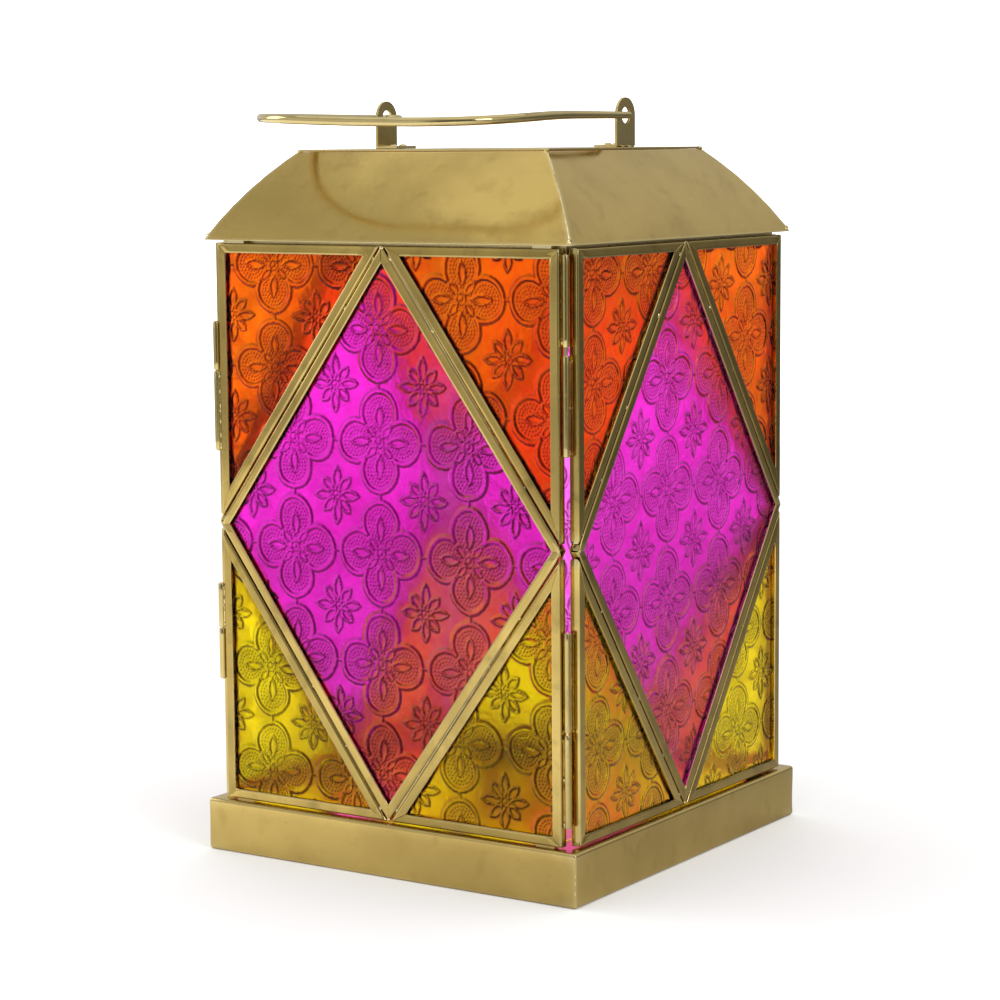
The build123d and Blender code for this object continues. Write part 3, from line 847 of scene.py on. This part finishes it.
def panel_solder(side, rng):
    """Solder in the seams between the diamond and the corner frames, at both faces, and at the
    diamond's four tips."""
    shells = []
    diamond = OUTLINES["diamond"]
    for level in (-1, 1):
        for sign in (-1, 1):
            tip = np.array([0, PANEL_MIDDLE + level * PANEL_RISE])
            along = np.array([sign * PANEL_HALF, PANEL_MIDDLE]) - tip
            away = np.array([sign * PANEL_RISE, level * PANEL_HALF]) / math.hypot(PANEL_RISE, PANEL_HALF)
            for depth in (SEAM_DEPTH[sign], CHANNEL_DEPTH - 1.25):
                ends = [tip + along * share + away * SEAM_GAP * 0.5 for share in (0.03, 0.97)]
                ends = [(x, depth - PANEL_FACE, z) for x, z in ends]
                shells.append(bead_run(*ends, SEAM_BEAD, rng, rough=0.25, spacing=1.8))
            tacks = [rng.uniform(*reach) for reach in ((0.16, 0.3), (0.42, 0.62), (0.75, 0.86))]
            for share in (0.045, *tacks, 0.955):
                at = tip + along * share + away * SEAM_GAP * 0.5
                for depth in (0.75, CHANNEL_DEPTH - 0.75):
                    size = rng.uniform(0.55, 0.95) * np.array([0.75, 0.55, 1.15])
                    shells.append(blob((at[0], depth - PANEL_FACE, at[1]), size, rng))
    for x, z in diamond:
        x = np.clip(x, -PANEL_HALF + 0.9, PANEL_HALF - 0.9)
        z = np.clip(z, PANEL_LOW + 0.8, PANEL_HIGH - 0.8)
        for depth in (0.6, CHANNEL_DEPTH - 0.6):
            size = rng.uniform(0.8, 1.1) * np.array([1.0, 0.7, 1.2])
            shells.append(blob((x, depth - PANEL_FACE, z), np.minimum(size, 0.95), rng, rough=0.12))
    shells = [(turned(points, side), groups) for points, groups in shells]
    return new_piece(f"{side}_panel_solder", SIDE_BODY[side], solder, shells)


# ---------------------------------------------------------------- plinth and roof
DENT_DEPTH = 0.5       # unevenness of the hammered sheet


def plinth_shell(rng):
    """The skirt's folded section carried round a square. A point at a distance in from the
    wall turns each corner on what is left of the corner radius, and inside that it is mitred."""
    radius, bend, far = 1.3, 1.6, PLINTH_HEIGHT
    section = np.concatenate([
        arc((LIP_WIDTH - 0.6, 0.6), 0.6, 90, -90, 5),
        arc((bend, bend), bend, 270, 180, 7),
        np.column_stack([np.zeros(5), np.linspace(bend, far - bend, 7)[1:-1]]),
        arc((bend, far - bend), bend, 180, 90, 7),
        np.column_stack([np.linspace(bend, LEDGE_WIDTH - 0.6, 5)[1:-1], np.full(3, far)]),
        arc((LEDGE_WIDTH - 0.6, far - 0.6), 0.6, 90, -90, 5),
        [(SHEET, far - SHEET), (SHEET, SHEET)],
    ])
    s, height = section[:, 0], section[:, 1]
    corner = PLINTH_HALF - radius - np.maximum(s - radius, 0)
    round_off = np.maximum(radius - s, 0)
    rows = []
    for k in range(4):
        for angle in np.radians(np.linspace(0, 90, 5)):
            x, y = corner + round_off * math.cos(angle), corner + round_off * math.sin(angle)
            rows.append((k, x, y))
        start_x, start_y = rows[-1][1], rows[-1][2]
        end_x, end_y = -start_x, start_y
        for share in np.linspace(0, 1, 18)[1:-1]:
            rows.append((k, start_x + (end_x - start_x) * share, start_y + (end_y - start_y) * share))
    grid = []
    for k, x, y in rows:
        c, q = QUARTER_TURNS[k]
        grid.append(np.column_stack([c * x - q * y, q * x + c * y, height]))
    grid = np.array(grid)
    wall = np.exp(-((s / 2.0) ** 2)) * np.sin(math.pi * np.clip(height / far, 0, 1))
    around = np.arctan2(grid[..., 1], grid[..., 0])
    swell = hills(around * 6, height[None] / 8 + 0 * around, rng, DENT_DEPTH, waves=6, reach=1.2)
    dents = np.abs(swell) * wall
    grid[..., :2] *= (1 - dents / PLINTH_HALF)[..., None]
    return grid.reshape(-1, 3), [grid_faces(*grid.shape[:2], wrap_rows=True, wrap_columns=True)]


def roof_line(share, sunk=0.0):
    """Points (y, z) up the front roof sheet, and the way that it faces: a straight line from the
    eave to the crown, bulged outwards by a parabola and sunk by its distance under the face."""
    low, high = np.array([-EAVE_HALF, EAVE_Z]), np.array([-CROWN_HALF, CROWN_Z - ROOF_SHEET])
    chord = high - low
    facing = np.array([-chord[1], chord[0]]) / np.linalg.norm(chord)
    bulge = 4 * ROOF_BULGE * share * (1 - share) - sunk
    return low + share[:, None] * chord + bulge[:, None] * facing, facing


def roof_shell(rng):
    """The front roof sheet. Each point of its section spreads sideways as far as it lies from
    the centre, so the hips are mitred."""
    share = np.linspace(0, 1, 34)
    across = np.linspace(-1, 1, 64)
    b, a = np.meshgrid(share, across, indexing="ij")
    fade = np.minimum(1, 8 * b) * np.minimum(1, 8 * (1 - b)) * np.minimum(1, 10 * (1 - np.abs(a)))
    dents = hills(a * 5.5, b * 3.0, rng, DENT_DEPTH, waves=7, reach=1.4) * fade
    grids = []
    for sunk in (0.0, ROOF_SHEET):
        section, facing = roof_line(share, sunk)
        y = section[:, :1] + dents * facing[0]
        z = np.clip(section[:, 1:] + dents * facing[1], EAVE_Z, CROWN_LOW + 0.95)
        grids.append(np.stack([a * np.abs(section[:, :1]), y, z], axis=-1))
    return slab(*grids)


def crown_shell(rng):
    """The flat top plate, with a little unevenness that dies out at its edges."""
    side = np.linspace(-CROWN_HALF, CROWN_HALF, 60)
    x, y = np.meshgrid(side, side, indexing="ij")
    fade = np.clip((CROWN_HALF - np.abs(x)) / 8, 0, 1) * np.clip((CROWN_HALF - np.abs(y)) / 8, 0, 1)
    sink = np.abs(hills(x / 16, y / 16, rng, 0.45, waves=7, reach=1.1)) * fade
    top = np.stack([x, y, CROWN_Z - sink], axis=-1)
    under = np.stack([x, y, CROWN_LOW - sink], axis=-1)
    return slab(top, under)


def bevelled(piece, width, segments=2, angle=35):
    """Rounds the edges that are sharper than an angle."""
    modifier = piece.modifiers.new("rounded_edges", "BEVEL")
    modifier.width = width * MM
    modifier.segments = segments
    modifier.limit_method = "ANGLE"
    modifier.angle_limit = math.radians(angle)
    return piece


def softened_copy(node, name, body, material, width):
    """A CAD node's shape with its doubles merged, its flat faces joined and its edges rounded."""
    mesh = frame["nodes"][node].data.copy()
    mesh.name = name
    edit = bmesh.new()
    edit.from_mesh(mesh)
    bmesh.ops.remove_doubles(edit, verts=edit.verts, dist=0.002 * MM)
    bmesh.ops.dissolve_limit(edit, angle_limit=math.radians(1), verts=edit.verts, edges=edit.edges)
    edit.to_mesh(mesh)
    edit.free()
    mesh.materials.clear()
    mesh.materials.append(material)
    mesh.shade_smooth()
    mesh.set_sharp_from_angle(angle=math.radians(35))
    piece = fitted(name, mesh, body)
    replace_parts(piece, node)
    return bevelled(piece, width)


# ---------------------------------------------------------------- handle
PIVOT_Z = 318.8
WIRE_END = 1.5
WIRE_MIDDLE = HANDLE_TOP - PIVOT_Z
ARM_X = HANDLE_HALF - WIRE_MIDDLE
GRIP_Y = GRIP_REACH_OUT - WIRE_MIDDLE
GRIP_CORNER = 40.0
TAIL_X = 59.5
TAIL_LENGTH = 7.0
HOOK_BEND = 2.2
TAPER_END = 73.0
CLEAR_OF_CROWN = 40.0  # the arms droop only past this, so that they stay off the crown's edge


def handle_path():
    """Half of the handle's centre line, from its tail to the middle of the grip: straight
    runs joined by quarter circles, about a millimetre between points."""
    hook_in = arc((TAIL_X + HOOK_BEND, HOOK_BEND), HOOK_BEND, 180, 270, 7)
    hook_out = arc((ARM_X - HOOK_BEND, -HOOK_BEND), HOOK_BEND, 90, 0, 7)
    corner = arc((ARM_X - GRIP_CORNER, GRIP_CORNER - GRIP_Y), GRIP_CORNER, 0, -90, 48)
    tail = np.column_stack([np.full(4, TAIL_X), np.linspace(TAIL_LENGTH, HOOK_BEND, 5)[:-1]])
    arm = np.column_stack([np.full(59, ARM_X), np.linspace(-HOOK_BEND, GRIP_CORNER - GRIP_Y, 61)[1:-1]])
    grip = np.column_stack([np.linspace(ARM_X - GRIP_CORNER, 0, 20)[1:], np.full(19, -GRIP_Y)])
    return np.concatenate([tail, hook_in, hook_out, arm, corner, grip])


def handle_piece(rng):
    """The bail: wire that thickens along the arms, hand bent so that it isn't quite level."""
    half = handle_path()
    flat = np.concatenate([half, half[-2::-1] * (-1, 1)])
    x, y = flat[:, 0], flat[:, 1]
    away = np.clip((-y - CLEAR_OF_CROWN) / (GRIP_Y - CLEAR_OF_CROWN), 0, 1) ** 2
    sag = 1.95 + 1.85 * x / ARM_X
    z = PIVOT_Z - away * (sag + 0.15 * np.sin(x / 15 + y / 25))
    taper = np.clip((-y - 6) / (TAPER_END - 6), 0, 1)
    radii = WIRE_END + (WIRE_MIDDLE - WIRE_END) * taper
    radii = radii - 0.03 * np.abs(np.sin(np.arange(len(x)) * 0.37)) * away
    ends = np.ones(len(x))
    ends[[0, -1]] = 0.55
    ends[[1, -2]] = 0.97
    path = np.column_stack([x, y, z])
    path[1], path[-2] = path[0] + (0, -0.45, 0), path[-1] + (0, -0.45, 0)
    shells = [tube(path, radii * ends, sides=24)]
    piece = new_piece("bail_handle", "handle", wire_brass, shells, sharp=math.radians(60))
    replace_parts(piece, "handle")
    return piece


# ---------------------------------------------------------------- hinges
BARREL_RADIUS = 1.45
BARREL_BORE = 0.82


def barrel_shell(x, y, z_low, z_high, seam_angle, rng):
    """A rolled tube: a rounded ring section turned about the pin, with a shallow seam where the
    sheet's edges meet and slightly uneven walls."""
    lip = (BARREL_RADIUS - BARREL_BORE) / 2
    middle = BARREL_BORE + lip
    top = arc((middle, z_high - lip), lip, 0, 180, 7)
    bottom = arc((middle, z_low + lip), lip, 180, 360, 7)
    count = max(3, int((z_high - z_low) / 4))
    heights = np.linspace(z_high - lip, z_low + lip, count + 2)[1:-1]
    inside = np.column_stack([np.full(count, BARREL_BORE), heights])
    outside = np.column_stack([np.full(count, BARREL_RADIUS), heights[::-1]])
    section = np.concatenate([top, inside, bottom, outside])
    steps = 28
    angle = np.arange(steps) * TAU / steps
    r, z = np.meshgrid(section[:, 0], angle, indexing="ij")[0].T, section[:, 1]
    gap = np.angle(np.exp(1j * (angle - seam_angle)))
    notch = 0.28 * np.exp(-((gap / 0.16) ** 2))
    outer = np.clip((r - BARREL_BORE) / (BARREL_RADIUS - BARREL_BORE), 0, 1)
    uneven = np.abs(hills(angle[:, None] * 2 + 0 * r, z[None] / 5 + 0 * r, rng, 0.05))
    r = r - outer * (notch[:, None] + uneven)
    points = np.stack([x + r * np.cos(angle)[:, None], y + r * np.sin(angle)[:, None],
                       np.broadcast_to(z, r.shape)], axis=-1)
    return points.reshape(-1, 3), [grid_faces(steps, len(section), wrap_rows=True, wrap_columns=True)]


def barrel_heights(node):
    """Lower and upper end of each barrel in a CAD node, from the heights its corners take."""
    corners = np.array([v.co for v in frame["nodes"][node].data.vertices]) / MM
    heights = np.unique(np.round(corners[:, 2], 2))
    return [(heights[0], heights[1]), (heights[-2], heights[-1])]


def hinge_barrels(hand, part, rng):
    """Two rolled barrels and the solder that holds them to the front panel or to the door."""
    node = f"{hand}_barrels_{part}"
    sign = 1 if hand == "right" else -1
    body = f"{hand}_door" if part == "door" else "lantern"
    low, high = box_mm(node)
    pin = frame["joints"][[j["name"] for j in frame["joints"]].index(f"{hand}_door_hinge")]["pos_m"]
    x, y = pin[0] / MM, pin[1] / MM
    shells = []
    for z_low, z_high in barrel_heights(node):
        seam = rng.uniform(0.6, 1.2) * math.pi
        shells.append(barrel_shell(x, y, z_low, z_high, seam, rng))
        if part == "door":
            foot = (x, y + BARREL_RADIUS + (high[1] - y - BARREL_RADIUS) / 2)
        else:
            foot = (x - sign * (BARREL_RADIUS + 0.05), y)
        start, end = (*foot, z_low + 0.8), (*foot, z_high - 0.8)
        shells.append(bead_run(start, end, 0.42, rng))
        for share in (0.04, 0.5, 0.96):
            z = z_low + (z_high - z_low) * (share + rng.uniform(-0.02, 0.02))
            size = rng.uniform(0.8, 1.15) * np.array([0.55, 0.6, 1.5])
            shells.append(blob((foot[0], foot[1], np.clip(z, z_low + 1.6, z_high - 1.6)), size, rng))
    piece = new_piece(f"{hand}_hinge_{part}_barrels", body, hinge_brass, shells)
    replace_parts(piece, node)
    return piece


# ---------------------------------------------------------------- small parts
STRIP_CLEARANCE = 0.45
STRIP_THICKNESS = 0.8
STRIP_DROP = 4.0
STRIP_WANDER = 0.15


def rivet_shells():
    """Four rivets: a domed head above the lug's foot, a shank and a low head underneath."""
    low, high = box_mm("lug_rivets")
    radius, head = 1.8, 0.8
    foot_top = high[2] - head
    dome = np.column_stack([radius * np.cos(np.linspace(0, math.pi / 2, 7)),
                            foot_top + head * np.sin(np.linspace(0, math.pi / 2, 7))])[:-1]
    under = low[2] + head
    profile = np.concatenate([
        [(0.02, low[2]), (radius - 0.2, low[2]), (radius, low[2] + 0.3), (radius, under)],
        [(1.0, under), (1.0, foot_top), (radius, foot_top)],
        dome[1:],
        [(0.02, high[2])],
    ])
    places = [(sx * (high[0] - radius), sy * (high[1] - radius)) for sx in (-1, 1) for sy in (-1, 1)]
    return [revolved(profile, (x, y, 0), steps=20) for x, y in places]


def cup_shell():
    """The candle cup: floor, wall and rolled rim, turned about the middle."""
    low, high = box_mm("candle_cup")
    bead = 0.9
    radius = high[0] - bead
    wall = 0.8
    rim = arc((radius, high[2] - bead), bead, -60, 200, 11)
    profile = np.concatenate([
        [(0.05, low[2]), (radius - 0.6, low[2]), (radius, low[2] + 0.6)],
        rim,
        [(radius - wall, high[2] - bead - 0.6), (radius - wall, low[2] + wall + 0.8),
         (radius - wall - 0.8, low[2] + wall), (0.05, low[2] + wall)],
    ])
    return revolved(profile, (0, 0, 0), steps=72)


PLINTH_BEAD = 0.66
LUG_FOOT_X = 62.9


def lantern_solder(rng):
    """Solder on the body: two corner seams of the plinth, the feet of the hips, the crown's
    corners and the lugs' feet."""
    shells = []
    edge = PLINTH_HALF - 0.95
    for sx, sy in ((1, -1), (-1, 1)):
        corner = (sx * edge, sy * edge)
        points, groups = bead_run((*corner, 1.0), (*corner, PLINTH_HEIGHT - 1.2), PLINTH_BEAD, rng, rough=0.4)
        points[:, :2] = np.clip(points[:, :2], -PLINTH_HALF, PLINTH_HALF)
        shells.append((points, groups))
    for sx in (-1, 1):
        for sy in (-1, 1):
            size = rng.uniform(0.8, 1.1) * np.array([1.1, 1.1, 1.3])
            at = EAVE_HALF - 1.3
            shells.append(blob((sx * at, sy * at, EAVE_Z + 1.7), size, rng))
            size = rng.uniform(0.9, 1.2) * np.array([1.2, 1.2, 0.7])
            shells.append(blob((sx * (CROWN_HALF - 0.6), sy * (CROWN_HALF - 0.6), CROWN_Z - 0.7), size, rng))
            foot = (sx * LUG_FOOT_X, sy * rng.uniform(2.5, 6.5), CROWN_Z + 0.25)
            shells.append(blob(foot, np.array([0.7, 1.6, 0.55]), rng))
    return new_piece("body_solder", "lantern", solder, shells)


HIP_BEAD = 0.42


def hip_shells(rng):
    """Fine solder runs in the four hips, from the eave to the crown, following the sheet's arc."""
    share = np.linspace(0.02, 0.98, 60)
    section = roof_line(share)[0]
    shells = []
    for sx in (-1, 1):
        for sy in (-1, 1):
            reach = np.abs(section[:, 0]) - 0.28
            path = np.column_stack([sx * reach, sy * reach, section[:, 1] - 0.22])
            radii = HIP_BEAD * (1 + 0.25 * hills(share * 40, share * 0, rng, 1.0, reach=2.0))
            shells.append(tube(path, radii, sides=8, flat=(sx, -sy, 0.0)))
    return shells


def eave_shade_strip_shell(rng):
    """A thin strip hung from the ring in the eave, just behind the panels' top edges, where its darker brass
    fills the gap under the eave as painted shade. Its section goes round a square with mitred corners."""
    ring_low = box_mm("eave_ring")[0][2]
    outer = PANEL_FACE - CHANNEL_DEPTH - STRIP_CLEARANCE
    section = np.concatenate([
        arc((STRIP_THICKNESS / 2, ring_low - STRIP_DROP), STRIP_THICKNESS / 2, 180, 360, 5),
        [(STRIP_THICKNESS, ring_low), (0.0, ring_low)],
    ])
    share = np.linspace(-1, 1, 25)[:-1, None]
    square = outer - section[:, 0]
    runs = []
    for side in SIDES:
        shift = 0.2 * rng.random(len(share))[:, None]
        sunk = STRIP_WANDER * np.abs(np.sin(9 * share + shift)) * (1 - share**2)
        run = np.stack([share * square, sunk - square, section[:, 1] + 0 * share], axis=-1)
        runs.append(turned(run.reshape(-1, 3), side))
    faces = grid_faces(len(share) * len(SIDES), len(section), wrap_rows=True, wrap_columns=True)
    return np.concatenate(runs), [faces]


# ---------------------------------------------------------------- build
rng = np.random.default_rng(27)
for side in SIDES:
    for name in PANES:
        channel_frame(side, name, rng)
        glass_pane(side, name, rng)
    panel_solder(side, rng)

plinth = new_piece("plinth_skirt", "lantern", sheet_brass, [plinth_shell(rng)],
                   sharp=math.radians(50), merge=0.001)
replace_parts(plinth, "plinth")
for side in SIDES:
    points, groups = roof_shell(rng)
    shells = [(turned(points, side), groups)]
    sheet = new_piece(f"roof_sheet_{side}", "lantern", sheet_brass, shells)
    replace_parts(bevelled(sheet, 0.22), f"roof_panel_{side}")
crown = new_piece("crown_sheet", "lantern", sheet_brass, [crown_shell(rng)])
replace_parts(bevelled(crown, 0.25), "crown_plate")
new_piece("hip_solder", "lantern", solder, hip_shells(rng))
lantern_solder(rng)
for hand in ("left", "right"):
    softened_copy(f"lug_{hand}", f"strap_lug_{hand}", "lantern", sheet_brass, 0.22)
rivets = new_piece("domed_rivets", "lantern", wire_brass, rivet_shells())
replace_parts(rivets, "lug_rivets")
handle_piece(rng)
for hand in ("right", "left"):
    for part in ("fixed", "door"):
        hinge_barrels(hand, part, rng)
# painted shade: a strip of darker inner brass fills the view into the gap under the eave
new_piece("eave_shade_strip", "lantern", inner_brass, [eave_shade_strip_shell(rng)])
cup = new_piece("turned_candle_cup", "lantern", inner_brass, [cup_shell()])
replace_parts(cup, "candle_cup")

CARRIED_OVER = {
    "floor_plate": inner_brass,
    "door_stops": frame_brass,
    "solder_tabs": solder,
    "eave_ring": inner_brass,
    "hinge_pins": hinge_brass,
}
for node, material in CARRIED_OVER.items():
    carried = frame["nodes"][node]
    if not carried.data.materials:
        carried.data.materials.append(material)
    for material_slot in carried.material_slots:
        material_slot.material = material

# ---------------------------------------------------------------- stage, light and camera
FLOOR_REACH = 1.6
BEYOND = (0.55, 0.83, 0.0)         # level, from the front right corner over the lantern
ONLOOKER = (0.55, -0.83, 0.1)      # the studio's dark side


def seen_in_metal(n):
    """1 for what is seen by reflection in something shiny, so that metal mirrors a dimmer room
    than the white one behind the glass."""
    path = n.add("ShaderNodeLightPath").outputs
    return n.math("MULTIPLY", path["Is Glossy Ray"], path["Is Reflection Ray"])


def studio_floor():
    """A pale round floor. Metal sees it bright before the lantern and dark beyond it."""
    material, n, shader = new_material("pale_floor")
    place = n.object_place()
    tone = n.mixed(n.noise(place, 3.0, 3.0), (0.90, 0.90, 0.90, 1), (0.92, 0.92, 0.915, 1))
    sweep = n.greys(n.ranged(n.along(place, BEYOND), -1.5, 1.5), (0.07, 0.76), (0.90, 0.12),
                    ((0.40, 0.95), (0.58, 0.29)))
    n.put(n.mixed(seen_in_metal(n), tone, sweep), shader.inputs["Base Color"])
    shader.inputs["Roughness"].default_value = 0.9
    shader.inputs["Specular IOR Level"].default_value = 0.1
    mesh = bpy.data.meshes.new("studio_floor")
    turn = np.arange(96) * TAU / 96
    rim = FLOOR_REACH * np.column_stack([np.cos(turn), np.sin(turn), np.zeros(96)])
    mesh.from_pydata(rim.tolist(), [], [list(range(96))])
    mesh.materials.append(material)
    in_scene("studio_floor", mesh)


def studio_world():
    """A white room that dims towards its ceiling. Metal sees it dimmer, and darker still low
    down beyond the lantern and on the studio's dark side."""
    world = bpy.data.worlds.new("studio")
    bpy.context.scene.world = world
    world.use_nodes = True
    n = Nodes(world.node_tree)
    background = world.node_tree.nodes["Background"]
    direction = n.add("ShaderNodeTexCoord").outputs["Generated"]
    height = n.add("ShaderNodeSeparateXYZ", {0: direction}).outputs["Z"]
    white = n.greys(height, (0.25, 1.0), (0.85, 0.30))
    dim = n.greys(n.ranged(height, -1.0, 1.0), (0.42, 0.20), (1.0, 0.155),
                  ((0.52, 0.385), (0.66, 0.322), (0.80, 0.297), (0.90, 0.22)))
    low_down = n.ranged(height, 0.45, 0.15)
    beyond = n.math("MULTIPLY", n.ranged(n.along(direction, BEYOND), 0.25, 0.85), low_down)
    onlooker = n.ranged(n.along(direction, ONLOOKER), 0.72, 0.95)
    darkness = n.math("MAXIMUM", n.math("MULTIPLY", beyond, 0.72), n.math("MULTIPLY", onlooker, 0.80))
    room = n.mixed(darkness, dim, (0.0, 0.0, 0.0, 1))
    n.put(n.mixed(seen_in_metal(n), white, room), background.inputs["Color"])
    background.inputs["Strength"].default_value = 1.95


MIDDLE = (0.0, 0.0, 0.16)          # the lantern's middle, which the lamps face


def softbox(name, place, width, length, power):
    """A rectangular area light aimed at the lantern's middle."""
    light = bpy.data.lights.new(name, "AREA")
    light.shape = "RECTANGLE"
    light.size, light.size_y = width, length
    light.energy = power
    lamp = in_scene(name, light)
    lamp.location = place
    aim = Vector(MIDDLE) - Vector(place)
    lamp.rotation_euler = aim.to_track_quat("-Z", "Y").to_euler()


studio_floor()
studio_world()
softbox("overhead_softbox", (0.0, 0.0, 2.6), 3.5, 3.5, 20)
softbox("key_softbox", (-1.9, -0.5, 1.0), 0.9, 1.2, 8)
softbox("fill_softbox", (1.9, -0.9, 1.1), 0.6, 0.9, 7)

CAMERA_PLACE = (0.6739, -1.0262, 0.3087)
CAMERA_TURN = 33.40    # degrees from looking along +Y towards -X
CAMERA_DIP = 7.35      # degrees below level
CAMERA_ROLL = -0.45
LENS = 100.45
SENSOR = 36.0


def aim_camera():
    """The camera's axes from its turn, dip and roll."""
    turn, dip, roll = (math.radians(a) for a in (CAMERA_TURN, CAMERA_DIP, CAMERA_ROLL))
    ahead = Vector((-math.sin(turn) * math.cos(dip), math.cos(turn) * math.cos(dip), -math.sin(dip)))
    level = Vector((math.cos(turn), math.sin(turn), 0))
    upright = level.cross(ahead)
    across = level * math.cos(roll) + upright * math.sin(roll)
    over = upright * math.cos(roll) - level * math.sin(roll)
    data = bpy.data.cameras.new("studio_camera")
    data.lens, data.sensor_width = LENS, SENSOR
    camera = in_scene("studio_camera", data)
    axes = Matrix((across, over, -ahead)).transposed().to_4x4()
    camera.matrix_world = Matrix.Translation(CAMERA_PLACE) @ axes
    bpy.context.scene.camera = camera


aim_camera()
bpy.context.scene.view_settings.view_transform = "Standard"

bpy.context.view_layer.update()
